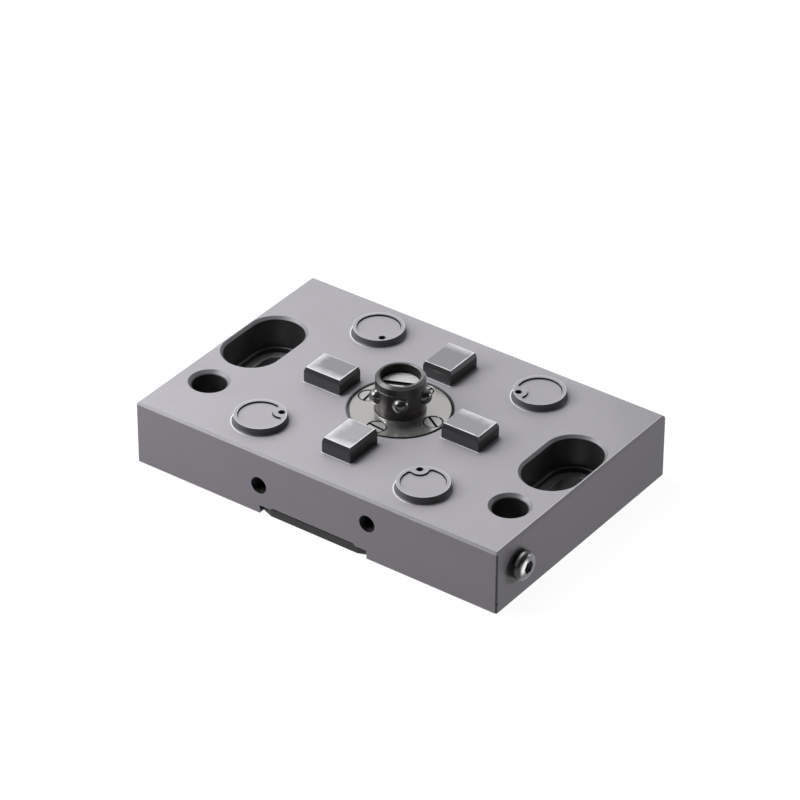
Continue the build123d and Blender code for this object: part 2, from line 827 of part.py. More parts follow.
# Set screws that close the drilled ends of the cleaning ducts
with BuildPart() as duct_plugs:
    back_end = Plane.XZ.offset(duct_plug_recess - plate_width / 2)
    left_end = Plane.YZ.offset(duct_plug_recess - plate_length / 2)
    plug_ends = (
        (back_end, (air_duct_offset, cleaning_duct_z)),
        (back_end, (-air_duct_offset, cleaning_duct_z)),
        (left_end, (air_duct_offset, cleaning_duct_z)),
    )
    for end_plane, point in plug_ends:
        with BuildSketch(end_plane):
            with Locations(point):
                Circle(duct_plug_radius)
        extrude(amount=duct_plug_length)
        cut_socket(end_plane, [point], duct_plug_socket, -duct_plug_length / 2)
duct_plugs.part.label = "duct_plugs"
export_step(duct_plugs.part, "parts/duct_plugs.step")
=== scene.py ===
import json
import math
from functools import cached_property

import bmesh
import bpy
from mathutils import Matrix, Vector


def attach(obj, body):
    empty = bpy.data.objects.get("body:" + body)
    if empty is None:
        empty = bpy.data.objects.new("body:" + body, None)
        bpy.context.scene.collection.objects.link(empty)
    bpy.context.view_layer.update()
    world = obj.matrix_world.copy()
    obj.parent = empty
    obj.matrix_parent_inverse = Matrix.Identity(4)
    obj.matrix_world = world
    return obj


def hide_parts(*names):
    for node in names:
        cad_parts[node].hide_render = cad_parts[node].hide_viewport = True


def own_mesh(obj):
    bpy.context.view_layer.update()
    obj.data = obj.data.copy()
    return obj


# Steel chuck plate with a clamping nose, prongs and pads, under soft studio light.
# Lengths of the studio are in metres. Those of the part are in millimetres, in the row frame.

MM = 0.001

# Camera, solved from the edges of the plate in the photograph
CAMERA_AZIMUTH = math.radians(35.84)
CAMERA_ELEVATION = math.radians(33.69)
CAMERA_ROLL = math.radians(0.23)
CAMERA_DISTANCE = 2.073
CAMERA_AIM_RIGHT = -0.0001
CAMERA_AIM_UP = 0.0323
CAMERA_LENS = 194.5
CAMERA_SENSOR = 36.0

# Floor: white of its own where it is seen or mirrored, and grey to all other rays
FLOOR_SIZE = 30.0
FLOOR_DROP = 0.0004
FLOOR_GLOW = 1.08
FLOOR_GLOW_SHARE = 0.88
FLOOR_WHITE = (0.95, 0.95, 0.95, 1.0)
FLOOR_GREY = (0.08, 0.08, 0.08, 1.0)

# Room: its lightest direction, and the strength from the first to the last cosine to it
ROOM_LIGHTEST = (-0.55, 0.60, 0.58)
ROOM_COSINES = (0.3, 0.95)
ROOM_STRENGTHS = (0.03, 0.68)

# Lamps: direction, distance, length of a side, and power in watts
SOFTBOXES = {
    "key_softbox": ((-0.45, 0.15, 1.0), 1.5, 0.6, 8.0),
    "near_softbox": ((-0.75, -0.60, 0.90), 0.7, 0.4, 2.3),
    "left_softbox": ((-1.0, -0.05, 0.5), 1.2, 0.6, 2.2),
    "front_softbox": ((-0.75, -0.66, 0.5), 1.2, 0.5, 2.4),
    "rim_softbox": ((0.65, 0.72, 0.15), 1.2, 0.2, 1.5),
    "right_softbox": ((0.92, -0.36, 0.12), 1.0, 0.12, 0.1),
}

# Sizes of the CAD model that the materials follow
PLATE_X = 105.0
PLATE_Y = 70.0
PLATE_TOP = 34.0
PAD_CENTRE = 47.5
PAD_RADIUS = 12.75
PAD_TOP = 37.7
PAD_RECESS_RADIUS = 11.0
AIR_HOLE_PLACE = 40.25
AIR_HOLE_RADIUS = 1.5
AIR_BOSS_RADIUS = 4.2
PRONG_MIDDLE = 40.5
PRONG_HALF_LENGTH = 10.9
PRONG_HALF_WIDTH = 8.4
PRONG_TOP_HALF_LENGTH = 10.0
PRONG_TOP_HALF_WIDTH = 7.5
PRONG_TOP = 42.0
RECESS_RADIUS = 25.6
COLLAR_RADIUS = 12.65
NOSE_BORE_RADIUS = 9.7
NOSE_TOP = 53.2
BOLT_TOP = 48.2
BOLT_RING_PITCH = 0.35
SCREW_TOP = 33.8
SCREW_CIRCLE = 19.0
SCREW_HEAD_RADIUS = 4.55
RELIEF_BOTTOM = 4.6
RELIEF_TOP = 5.7
PLUG_Y = -52.2
PLUG_Z = 18.5
PLUG_TOP = 110.4
SOCKET_REACH = 3.5

# Threads of the front ports: the middle of each bore in X and Z, and the ridge on its wall
PORTS = {"release_port_thread": (-31.5, 15.8), "cleaning_port_thread": (31.6, 20.0)}
PORT_RADIUS = 4.4
THREAD_PITCH = 0.907
THREAD_HEIGHT = 0.28
THREAD_ROOT = 0.04
THREAD_HALF_WIDTH = 0.36 * THREAD_PITCH
THREAD_START = 0.9
THREAD_TURNS = 10
THREAD_STEPS = 48
THREAD_FADE_STEPS = 24

# Pack of disc springs between its seat and its roof
SPRING_SEAT = 6.9
SPRING_ROOF = 17.0
SPRING_COUNT = 4
SPRING_THICKNESS = 1.5
SPRING_GAP = 0.025
SPRING_INNER = 10.2
SPRING_OUTER = 20.0
SPRING_ROUNDING = 0.3
SPRING_STEPS = 96

# Directions in which painted light and shade change: the first three in X and Y, the last two in Y and Z
TO_LIGHT = (-0.75, -0.66)
TO_PICTURE_RIGHT = (0.81, 0.585)
TO_RIGHT_CORNER = (0.8, 0.6)
TO_GLINT = (-0.86, 0.5)
TO_BRIGHT_EDGE = (-0.5, 0.866)

# Where the painted light on the left side begins and is full in X, and where the painted shade before the
# nose lies
LEFT_SIDE = (-6.0, -16.0)
SHADE_X = 10.0
SHADE_Y = -9.5

# Base colours, as linear light
BLACK = (0.02, 0.02, 0.02)
# bright line: a painted highlight on the pads' rims and feet, and wear on the prongs' edges
BRIGHT_LINE = (0.85, 0.85, 0.86)
PLATE_TONES = {
    "top": (0.43, 0.418, 0.45),
    # side: the same steel, darker on the upright faces as painted shade
    "side": (0.355, 0.331, 0.37),
    # a painted highlight before the prongs' feet, then painted shade
    "prong_foot_highlight": (0.95, 0.95, 0.96),
    "shade": (0.15, 0.148, 0.155),
    # worn: bright worn edges, and along the right top edge also a painted highlight
    "worn": (0.8, 0.8, 0.81),
    # chamfers: darker copies of the steel, as painted shade
    "chamfer": (0.25, 0.245, 0.26),
    "right_chamfer": (0.36, 0.34, 0.37),
    # painted shadow round the side plug
    "plug_shadow": (0.03, 0.03, 0.032),
    # painted shade on the upright corners
    "corner": (0.10, 0.10, 0.105),
    # pad walls: dark, with painted shade over their foot fillets
    "pad_wall": (0.085, 0.083, 0.087),
    "pad_recess_shade": (0.025, 0.025, 0.026),
    # openings and ports: painted shade; the right ledge darker as painted shade
    "opening": (0.055, 0.055, 0.057),
    "opening_back": (0.033, 0.033, 0.034),
    "ledge_left": (0.42, 0.42, 0.43),
    "ledge_right": (0.32, 0.32, 0.325),
    "port": (0.03, 0.03, 0.03),
    # groove tones: painted shade, lighter on the left as painted light
    "ring_edge_shade": (0.085, 0.084, 0.087),
    "ring": (0.05, 0.05, 0.05),
    "ring_lit_left": (0.15, 0.15, 0.153),
    "ring_wall": (0.24, 0.24, 0.245),
}
PRONG_TONES = {
    "centre": (0.30, 0.296, 0.315),
    # bright patches and edge lines: wear with painted reflection
    "worn": (0.74, 0.73, 0.765),
    "rubbed_and_lit_edges": (0.9, 0.9, 0.91),
    "flank": (0.055, 0.053, 0.057),
    "shaded_right_flank": (0.035, 0.034, 0.036),
}
NOSE_TONES = {
    "wall": (0.082, 0.077, 0.075),
    "bevel": (0.15, 0.15, 0.148),
    # groove: painted shade; collar: a painted highlight, dimmer on the lit side
    "groove": (0.03, 0.03, 0.03),
    "collar": (0.6, 0.6, 0.59),
    "collar_lit": (0.2, 0.2, 0.2),
    "flange": (0.63, 0.62, 0.61),
    "gap": (0.025, 0.025, 0.025),
    "lit_left_edge": (0.2, 0.2, 0.2),
    "worn": (0.5, 0.5, 0.49),
}
SCREW_TONES = {
    "flange_screw": (0.60, 0.60, 0.59),
    "plug": (0.19, 0.184, 0.195),
    "plug_shaded_left": (0.06, 0.059, 0.062),
    "glint": (0.95, 0.95, 0.95),
    "socket": (0.3, 0.3, 0.31),
}

# Places of the colour sockets on a mix node, and the cosines between which an edge shows
MIX_FIRST, MIX_SECOND, MIX_RESULT = 6, 7, 2
EDGE_COSINES = (0.995, 0.93)
EDGE_SAMPLES = 6


class Graph:
    """The node tree of one material, with a short call for each kind of node."""

    def __init__(self, name):
        self.material = bpy.data.materials.new(name)
        self.material.use_nodes = True
        self.nodes = self.material.node_tree.nodes
        self.links = self.material.node_tree.links
        self.shader = self.nodes["Principled BSDF"]
        self.coordinates = self.nodes.new("ShaderNodeTexCoord")
        self.place = self.brighten(self.coordinates.outputs["Object"], 1 / MM)
        self.colour = None

    @cached_property
    def axes(self):
        """The place in millimetres along X, Y and Z."""
        return self.split(self.place)

    @cached_property
    def normal(self):
        """The direction that the surface faces, along X, Y and Z."""
        return self.split(self.coordinates.outputs["Normal"])

    def put(self, socket, value):
        """Links a socket to another, or sets it to a number or a colour."""
        if isinstance(value, bpy.types.NodeSocket):
            self.links.new(value, socket)
        elif isinstance(value, tuple) and len(value) == 3 and socket.type == "RGBA":
            socket.default_value = (*value, 1.0)
        else:
            socket.default_value = value

    def split(self, vector):
        """The three components of a vector."""
        node = self.nodes.new("ShaderNodeSeparateXYZ")
        self.put(node.inputs[0], vector)
        return node.outputs

    def math(self, operation, first, second=0.0, third=0.0):
        """One arithmetic step."""
        node = self.nodes.new("ShaderNodeMath")
        node.operation = operation
        for socket, value in zip(node.inputs, (first, second, third)):
            self.put(socket, value)
        return node.outputs[0]

    def product(self, *values):
        """The product of several numbers or sockets."""
        result = values[0]
        for value in values[1:]:
            result = self.math("MULTIPLY", result, value)
        return result

    def sum(self, first, second):
        """The sum of two values."""
        return self.math("ADD", first, second)

    def less(self, first, second):
        """The first value less the second."""
        return self.math("SUBTRACT", first, second)

    def larger(self, first, second):
        """The larger of two values."""
        return self.math("MAXIMUM", first, second)

    def size(self, value):
        """A value without its sign."""
        return self.math("ABSOLUTE", value)

    def step(self, value, low, high):
        """A smooth step from 0 at low to 1 at high; low may be above high."""
        node = self.nodes.new("ShaderNodeMapRange")
        node.interpolation_type = "SMOOTHSTEP"
        falls = low > high
        self.put(node.inputs["Value"], value)
        node.inputs["From Min"].default_value = min(low, high)
        node.inputs["From Max"].default_value = max(low, high)
        node.inputs["To Min"].default_value = 1.0 if falls else 0.0
        node.inputs["To Max"].default_value = 0.0 if falls else 1.0
        return node.outputs[0]

    def band(self, value, start, full, fade, end):
        """1 from full to fade, and smoothly down to 0 at start and end."""
        return self.product(self.step(value, start, full), self.step(value, end, fade))

    def spread(self, value, low, high):
        """A value from 0 to 1 laid between low and high."""
        return self.math("MULTIPLY_ADD", value, high - low, low)

    def radius(self, first, second, first_centre=0.0, second_centre=0.0):
        """The distance from a point, given by two coordinates."""
        one = self.less(first, first_centre)
        other = self.less(second, second_centre)
        return self.math("SQRT", self.sum(self.product(one, one), self.product(other, other)))

    def along(self, first, second, direction):
        """How far two coordinates reach in a direction."""
        return self.sum(self.product(first, direction[0]), self.product(second, direction[1]))

    def noise(self, scales, detail=2.0, roughness=0.5):
        """Noise with so many features per millimetre along each axis."""
        stretch = self.nodes.new("ShaderNodeVectorMath")
        stretch.operation = "MULTIPLY"
        stretch.inputs[1].default_value = scales
        self.put(stretch.inputs[0], self.place)
        node = self.nodes.new("ShaderNodeTexNoise")
        self.put(node.inputs["Vector"], stretch.outputs[0])
        node.inputs["Scale"].default_value = 1.0
        node.inputs["Detail"].default_value = detail
        node.inputs["Roughness"].default_value = roughness
        return node.outputs["Fac"]

    def streaks(self):
        """Fine grinding streaks along X."""
        return self.noise((0.06, 5.0, 5.0), 3.0, 0.6)

    def mottle(self):
        """Wide, faint patches."""
        return self.noise((0.035, 0.045, 0.045), 3.0, 0.6)

    def grain(self):
        """Fine grain."""
        return self.noise((2.4, 2.4, 2.4), 2.0, 0.7)

    def mix(self, factor, first, second):
        """A colour between two colours."""
        node = self.nodes.new("ShaderNodeMix")
        node.data_type = "RGBA"
        self.put(node.inputs["Factor"], factor)
        self.put(node.inputs[MIX_FIRST], first)
        self.put(node.inputs[MIX_SECOND], second)
        return node.outputs[MIX_RESULT]

    def brighten(self, colour, factor):
        """A colour or another vector multiplied by a number."""
        node = self.nodes.new("ShaderNodeVectorMath")
        node.operation = "SCALE"
        self.put(node.inputs[0], colour)
        self.put(node.inputs["Scale"], factor)
        return node.outputs[0]

    def paint(self, mask, colour, strength=1.0):
        """Lays a colour over the present one, as far as the mask and the strength say."""
        factor = mask if strength == 1.0 else self.product(mask, strength)
        self.colour = self.mix(factor, self.colour, colour)

    def edges(self, radius):
        """About 1 within a radius in millimetres of a sharp edge, and 0 elsewhere."""
        bevel = self.nodes.new("ShaderNodeBevel")
        bevel.samples = EDGE_SAMPLES
        bevel.inputs["Radius"].default_value = radius * MM
        geometry = self.nodes.new("ShaderNodeNewGeometry")
        dot = self.nodes.new("ShaderNodeVectorMath")
        dot.operation = "DOT_PRODUCT"
        self.put(dot.inputs[0], bevel.outputs[0])
        self.put(dot.inputs[1], geometry.outputs["Normal"])
        return self.step(dot.outputs["Value"], *EDGE_COSINES)

    def bump(self, height, depth):
        """Relief of a depth in millimetres, as the shader's normal."""
        node = self.nodes.new("ShaderNodeBump")
        node.inputs["Distance"].default_value = depth * MM
        self.put(node.inputs["Height"], height)
        self.put(self.shader.inputs["Normal"], node.outputs[0])

    def finish(self, roughness, metallic):
        """Sets the main inputs of the shader and returns the material."""
        self.put(self.shader.inputs["Base Color"], self.colour)
        self.put(self.shader.inputs["Roughness"], roughness)
        self.put(self.shader.inputs["Metallic"], metallic)
        return self.material


def prong_place(graph, half_length, half_width):
    """A point as seen from its prong's middle, half the prong's size, and 1 near a prong."""
    places = []
    shares = []
    for value in graph.axes[:2]:
        step = graph.math("ROUND", graph.math("DIVIDE", value, PRONG_MIDDLE))
        places.append(graph.math("MULTIPLY_ADD", step, -PRONG_MIDDLE, value))
        shares.append(graph.size(step))
    halves = [graph.spread(share, half_width, half_length) for share in shares]
    near = graph.math("COMPARE", graph.sum(*shares), 1.0, 0.5)
    return places, halves, near


def paint_prong_feet(graph):
    """On the plate, a painted highlight before each prong and a painted soft shade on its right."""
    (local_x, local_y), (half_x, half_y), near = prong_place(
        graph, PRONG_HALF_LENGTH, PRONG_HALF_WIDTH
    )
    on_top = graph.product(graph.step(graph.axes[2], PLATE_TOP - 0.2, PLATE_TOP - 0.1), near)
    past_front = graph.less(graph.product(local_y, -1.0), half_y)
    past_sides = graph.less(graph.size(local_x), half_x)
    past_right = graph.less(local_x, half_x)
    past_ends = graph.less(graph.size(local_y), half_y)
    line = graph.band(past_front, -0.1, 0.0, 0.6, 0.8)
    line = graph.product(line, graph.step(past_sides, 0.2, -0.1), on_top)
    shade = graph.band(past_right, -0.2, 0.0, 0.0, 4.0)
    shade = graph.product(shade, graph.step(past_ends, 1.5, -2.5), on_top)
    # Painted highlight along the front of each prong's foot, and painted shade on its right
    graph.paint(line, PLATE_TONES["prong_foot_highlight"])
    graph.paint(shade, PLATE_TONES["shade"], 0.5)


def paint_plate_edges(graph):
    """Worn edges with a painted highlight along the right top edge, the chamfers and upright corners in
    painted shade, and a painted shadow round the side plug.
    """
    x, y, z = graph.axes
    slanted = graph.band(graph.normal[2], 0.55, 0.62, 0.78, 0.85)
    right_edge = graph.product(
        graph.step(x, PLATE_X - 1.6, PLATE_X - 1.5),
        graph.step(z, PLATE_TOP - 0.12, PLATE_TOP - 0.05),
    )
    right_chamfer = graph.product(
        slanted,
        graph.step(x, PLATE_X - 1.4, PLATE_X - 1.2),
        graph.step(graph.normal[0], 0.3, 0.5),
    )
    chamfer = graph.product(
        slanted,
        graph.step(z, PLATE_TOP + 0.01, PLATE_TOP - 0.01),
        graph.less(1.0, right_chamfer),
    )
    plug_shadow = graph.product(
        graph.step(x, PLATE_X - 0.1, PLATE_X - 0.05),
        graph.step(graph.radius(y, z, PLUG_Y - 2.0, PLUG_Z), 9.9, 7.8),
    )
    askew = graph.product(graph.size(graph.normal[0]), graph.size(graph.normal[1]))
    corner = graph.product(
        graph.step(askew, 0.35, 0.48), graph.step(z, PLATE_TOP - 0.4, PLATE_TOP - 1.2)
    )
    graph.paint(graph.edges(0.3), PLATE_TONES["worn"], 0.5)
    # Along the right top edge the bright line is wear and painted highlight
    graph.paint(right_edge, PLATE_TONES["worn"], 0.6)
    # The chamfers take their own darker tones of the same steel: painted shade.
    graph.paint(chamfer, PLATE_TONES["chamfer"])
    graph.paint(right_chamfer, PLATE_TONES["right_chamfer"])
    # A painted shadow on the right face round the side plug, reaching further towards the front
    graph.paint(plug_shadow, PLATE_TONES["plug_shadow"], 0.85)
    # Painted shade darkens the upright corner chamfers below the top.
    graph.paint(corner, PLATE_TONES["corner"])


def paint_pads(graph, upright):
    """Dark walls of the pads with painted shade over their foot fillets and on the side away from the
    light, painted shade in their recesses and air holes, and painted highlights on their rims and feet.
    """
    x, y, z = graph.axes
    far_x, far_y = graph.size(x), graph.size(y)
    reach = graph.radius(far_x, far_y, PAD_CENTRE, PAD_CENTRE)
    local_x = graph.math("MULTIPLY_ADD", graph.math("SIGN", x), -PAD_CENTRE, x)
    local_y = graph.math("MULTIPLY_ADD", graph.math("SIGN", y), -PAD_CENTRE, y)
    to_light = graph.math("DIVIDE", graph.along(local_x, local_y, TO_LIGHT), reach)
    shade = graph.product(
        graph.band(reach, PAD_RADIUS, PAD_RADIUS + 0.2, PAD_RADIUS + 0.8, PAD_RADIUS + 3.4),
        graph.step(to_light, 0.2, -0.7),
    )
    wall = graph.product(
        graph.band(reach, PAD_RADIUS - 0.08, PAD_RADIUS - 0.02, PAD_RADIUS + 0.7, PAD_RADIUS + 1.3),
        graph.band(z, PLATE_TOP - 0.02, PLATE_TOP - 0.01, PAD_TOP - 0.03, PAD_TOP - 0.01),
    )
    foot = graph.product(
        graph.band(reach, PAD_RADIUS + 0.75, PAD_RADIUS + 0.95, PAD_RADIUS + 1.35, PAD_RADIUS + 1.6),
        graph.band(z, PLATE_TOP - 0.02, PLATE_TOP - 0.01, PLATE_TOP + 0.1, PLATE_TOP + 0.3),
        graph.step(to_light, 0.2, 0.9),
    )
    rim = graph.product(
        graph.band(reach, PAD_RADIUS - 0.35, PAD_RADIUS - 0.25, PAD_RADIUS + 0.01, PAD_RADIUS + 0.05),
        graph.step(z, PAD_TOP - 0.03, PAD_TOP - 0.01),
    )
    from_hole = graph.radius(far_x, far_y, AIR_HOLE_PLACE, AIR_HOLE_PLACE)
    recess_edge = graph.larger(
        graph.step(reach, PAD_RECESS_RADIUS - 0.5, PAD_RECESS_RADIUS - 0.3),
        graph.step(from_hole, AIR_BOSS_RADIUS + 0.5, AIR_BOSS_RADIUS + 0.3),
    )
    recess = graph.product(
        graph.larger(upright, recess_edge),
        graph.step(reach, PAD_RECESS_RADIUS + 0.1, PAD_RECESS_RADIUS + 0.05),
        graph.band(z, PLATE_TOP + 1.5, PLATE_TOP + 2.0, PAD_TOP - 0.03, PAD_TOP - 0.01),
    )
    air_hole = graph.product(
        graph.step(from_hole, AIR_HOLE_RADIUS + 0.35, AIR_HOLE_RADIUS + 0.15),
        graph.step(z, PLATE_TOP + 1.5, PLATE_TOP + 2.0),
    )
    # Painted shade beside each pad on the side away from the light
    graph.paint(shade, PLATE_TONES["shade"], 0.5)
    # The dark pad walls, with painted shade carried out over their foot fillets
    graph.paint(wall, PLATE_TONES["pad_wall"])
    # Painted highlights: a bright crescent at each pad's foot towards the light, and a bright line round
    # its rim
    graph.paint(foot, BRIGHT_LINE)
    graph.paint(rim, BRIGHT_LINE, 0.6)
    # Painted shade in the recesses, along their edges, and round the air holes
    graph.paint(recess, PLATE_TONES["pad_recess_shade"])
    graph.paint(air_hole, BLACK)


def paint_openings(graph):
    """Painted shade on the walls of pockets and holes, deepest on the back walls, light ledges with
    painted shade on the right ones, and painted shade in the bores of the ports.
    """
    x, y, z = graph.axes
    inside = graph.product(
        graph.step(graph.size(x), PLATE_X - 0.1, PLATE_X - 0.7),
        graph.step(graph.size(y), PLATE_Y - 0.1, PLATE_Y - 0.7),
        graph.band(z, 0.25, 0.4, PLATE_TOP - 1.8, PLATE_TOP - 1.2),
    )
    facing_front = graph.step(graph.normal[1], -0.1, -0.8)
    wall = graph.mix(facing_front, PLATE_TONES["opening"], PLATE_TONES["opening_back"])
    ledge = graph.product(inside, graph.step(graph.normal[2], 0.9, 0.97))
    on_right = graph.step(x, -10.0, 10.0)
    tread = graph.mix(on_right, PLATE_TONES["ledge_left"], PLATE_TONES["ledge_right"])
    # Painted shade on the inner walls; the ledges lighter, the right ones darker as painted shade
    graph.paint(inside, wall)
    graph.paint(ledge, tread)
    # Painted shade in the bores of the ports
    in_port = graph.step(y, -50.0, -55.0)
    for centre_x, centre_z in PORTS.values():
        reach = graph.radius(x, z, centre_x, centre_z)
        bore = graph.product(graph.step(reach, PORT_RADIUS + 0.15, PORT_RADIUS + 0.05), in_port)
        graph.paint(bore, PLATE_TONES["port"])


def paint_ring_groove(graph):
    """Painted shade in the groove round the flange, lighter on the left as painted light, where painted
    shade also darkens its outer edge.
    """
    x, y, z = graph.axes
    radius = graph.radius(x, y)
    on_left = graph.step(x, *LEFT_SIDE)
    groove = graph.band(
        radius, RECESS_RADIUS - 2.0, RECESS_RADIUS - 1.9, RECESS_RADIUS + 0.2, RECESS_RADIUS + 0.4
    )
    wall = graph.product(groove, graph.step(z, PLATE_TOP - 0.03, PLATE_TOP - 0.1))
    edge = graph.product(
        graph.band(radius, RECESS_RADIUS - 0.1, RECESS_RADIUS, RECESS_RADIUS + 0.4, RECESS_RADIUS + 0.9),
        graph.step(z, PLATE_TOP - 0.05, PLATE_TOP - 0.02),
        on_left,
    )
    # Painted shade on the groove's outer edge on the left and in the groove, lighter there as painted
    # light, and a lighter tone on its wall
    graph.paint(edge, PLATE_TONES["ring_edge_shade"], 0.8)
    graph.paint(groove, graph.mix(on_left, PLATE_TONES["ring"], PLATE_TONES["ring_lit_left"]))
    graph.paint(wall, PLATE_TONES["ring_wall"])


def paint_relief(graph):
    """Painted shade in the gap over the mouth of the channel, in the front and back faces."""
    z = graph.axes[2]
    far_y = graph.size(graph.axes[1])
    relief = graph.product(
        graph.band(far_y, PLATE_Y - 1.3, PLATE_Y - 1.1, PLATE_Y - 0.05, PLATE_Y - 0.01),
        graph.band(z, RELIEF_BOTTOM - 0.2, RELIEF_BOTTOM - 0.1, RELIEF_TOP + 0.1, RELIEF_TOP + 0.3),
    )
    # Painted shade fills the gap
    graph.paint(relief, BLACK)


def plate_steel():
    """Satin ground steel, with painted shade on its upright faces, in the pockets, holes and grooves and
    round the pads.
    """
    graph = Graph("plate_steel")
    x, y = graph.axes[:2]
    streaks, mottle, grain = graph.streaks(), graph.mottle(), graph.grain()
    upright = graph.step(graph.size(graph.normal[2]), 0.75, 0.55)
    # Painted shade: the top darkens towards the right corner.
    right_corner_shade = graph.step(graph.along(x, y, TO_RIGHT_CORNER), 85.0, 125.0)
    tone = graph.product(
        graph.spread(mottle, 0.93, 1.07),
        graph.spread(grain, 0.95, 1.05),
        graph.spread(streaks, 0.96, 1.04),
        graph.spread(right_corner_shade, 1.0, 0.84),
    )
    # The upright faces take a darker copy of the top's steel: painted shade.
    steel = graph.mix(upright, PLATE_TONES["top"], PLATE_TONES["side"])
    graph.colour = graph.brighten(steel, tone)
    paint_prong_feet(graph)
    paint_plate_edges(graph)
    paint_pads(graph, upright)
    paint_openings(graph)
    paint_ring_groove(graph)
    paint_relief(graph)
    graph.bump(graph.sum(streaks, grain), 0.004)
    return graph.finish(graph.spread(mottle, 0.36, 0.48), graph.spread(upright, 0.22, 0.06))


def paint_prong_face(graph, grain):
    """A ground face, lighter towards the front and right as painted light, bright at the back, or at the
    left and front, and along its edges, partly as wear and partly as painted reflection.
    """
    x, y = graph.axes[:2]
    (local_x, local_y), (half_x, half_y), _ = prong_place(
        graph, PRONG_TOP_HALF_LENGTH, PRONG_TOP_HALF_WIDTH
    )
    to_left, to_right = graph.sum(half_x, local_x), graph.less(half_x, local_x)
    to_front, to_back = graph.sum(half_y, local_y), graph.less(half_y, local_y)
    behind = graph.step(graph.sum(x, y), -10.0, 10.0)
    before = graph.less(1.0, behind)
    patches = graph.spread(graph.noise((0.22, 0.22, 0.22), 3.0, 0.6), -2.5, 2.5)
    to_worn = graph.product(graph.math("MINIMUM", to_left, to_front), before)
    to_worn = graph.math("MULTIPLY_ADD", to_back, behind, to_worn)
    uneven = graph.product(patches, 0.3)
    rubbed_and_lit_edges = 0.0
    for reach, strength in ((to_front, 1.0), (to_right, 0.95), (to_left, before), (to_back, 0.5)):
        line = graph.step(graph.sum(reach, uneven), 0.8, 0.2)
        rubbed_and_lit_edges = graph.larger(rubbed_and_lit_edges, graph.product(line, strength))
    # Painted light: the front prong's top lighter, and the right one's a little
    lighter = graph.math("MULTIPLY_ADD", graph.step(y, -20.0, -35.0), 0.38, 1.0)
    lighter = graph.math("MULTIPLY_ADD", graph.step(x, 20.0, 35.0), 0.15, lighter)
    centre = graph.brighten(PRONG_TONES["centre"], graph.spread(grain, 0.9, 1.1))
    graph.colour = graph.brighten(centre, lighter)
    # Bright patches and edge lines: wear, and painted reflection where the face catches the light
    graph.paint(graph.step(graph.sum(to_worn, patches), 5.4, -0.6), PRONG_TONES["worn"])
    graph.paint(rubbed_and_lit_edges, PRONG_TONES["rubbed_and_lit_edges"])


def prong_steel():
    """Dark hardened flanks with painted shade on the right ones, and a ground top that is bright towards
    its edges, partly from wear and partly as painted reflection.
    """
    graph = Graph("prong_steel")
    z = graph.axes[2]
    streaks, mottle, grain = graph.streaks(), graph.mottle(), graph.grain()
    top = graph.step(z, PRONG_TOP - 0.12, PRONG_TOP - 0.04)
    shaded_right_flank = graph.product(
        graph.step(graph.normal[0], 0.9, 0.97), graph.step(z, PRONG_TOP - 2.0, PRONG_TOP - 2.6)
    )
    flank = graph.brighten(PRONG_TONES["flank"], graph.spread(mottle, 0.8, 1.2))
    # Painted shade on the lower part of the right flanks
    flank = graph.mix(shaded_right_flank, flank, PRONG_TONES["shaded_right_flank"])
    line = graph.spread(graph.step(z, PRONG_TOP - 0.6, PRONG_TOP - 0.3), 0.15, 0.9)
    paint_prong_face(graph, grain)
    graph.paint(graph.less(1.0, top), flank)
    graph.paint(graph.product(graph.edges(0.35), line), BRIGHT_LINE)
    graph.bump(graph.sum(streaks, grain), 0.003)
    return graph.finish(graph.spread(top, 0.30, 0.42), 0.5)


def screw_outline(graph):
    """A thin ring round the head of each of the four screws in the flange."""
    far_x, far_y = graph.size(graph.axes[0]), graph.size(graph.axes[1])
    outward = graph.larger(far_x, far_y)
    sideways = graph.math("MINIMUM", far_x, far_y)
    reach = graph.radius(outward, sideways, SCREW_CIRCLE)
    head = SCREW_HEAD_RADIUS
    return graph.band(reach, head - 0.35, head - 0.2, head + 0.25, head + 0.4)


def paint_flange(graph, radius, flange, mottle):
    """The groove under the nose's wall in painted shade, the line there as a painted highlight, the
    ground flange with painted shade before the nose, the gaps in it, and painted light at the groove's
    left edge.
    """
    x, y, z = graph.axes
    below = graph.step(z, PLATE_TOP - 0.05, PLATE_TOP - 0.2)
    collar = graph.product(
        graph.band(z, PLATE_TOP + 0.25, PLATE_TOP + 0.35, PLATE_TOP + 0.7, PLATE_TOP + 0.75),
        graph.band(
            radius, COLLAR_RADIUS - 0.25, COLLAR_RADIUS - 0.15, COLLAR_RADIUS + 0.15, COLLAR_RADIUS + 0.25
        ),
    )
    to_light = graph.math("DIVIDE", graph.along(x, y, TO_LIGHT), radius)
    line = graph.mix(graph.step(to_light, 0.3, 0.9), NOSE_TONES["collar"], NOSE_TONES["collar_lit"])
    shade = graph.step(graph.radius(x, y, SHADE_X, SHADE_Y), 7.5, 2.0)
    ground = graph.brighten(NOSE_TONES["flange"], graph.spread(mottle, 0.95, 1.05))
    lip = graph.step(radius, RECESS_RADIUS - 1.2, RECESS_RADIUS - 1.05)
    gaps = graph.product(
        graph.larger(screw_outline(graph), lip), graph.step(z, PLATE_TOP + 0.12, PLATE_TOP + 0.04)
    )
    lit_left_edge = graph.product(
        graph.step(x, *LEFT_SIDE),
        graph.larger(below, lip),
        graph.step(radius, RECESS_RADIUS - 2.1, RECESS_RADIUS - 1.6),
    )
    # Painted shade in the groove, a painted highlight on the collar, and painted shade on the flange
    # before the nose
    graph.paint(below, NOSE_TONES["groove"])
    graph.paint(collar, line)
    graph.paint(flange, graph.brighten(ground, graph.spread(shade, 1.0, 0.5)))
    graph.paint(gaps, NOSE_TONES["gap"])
    # Painted light on the left edge of the groove
    graph.paint(lit_left_edge, NOSE_TONES["lit_left_edge"])


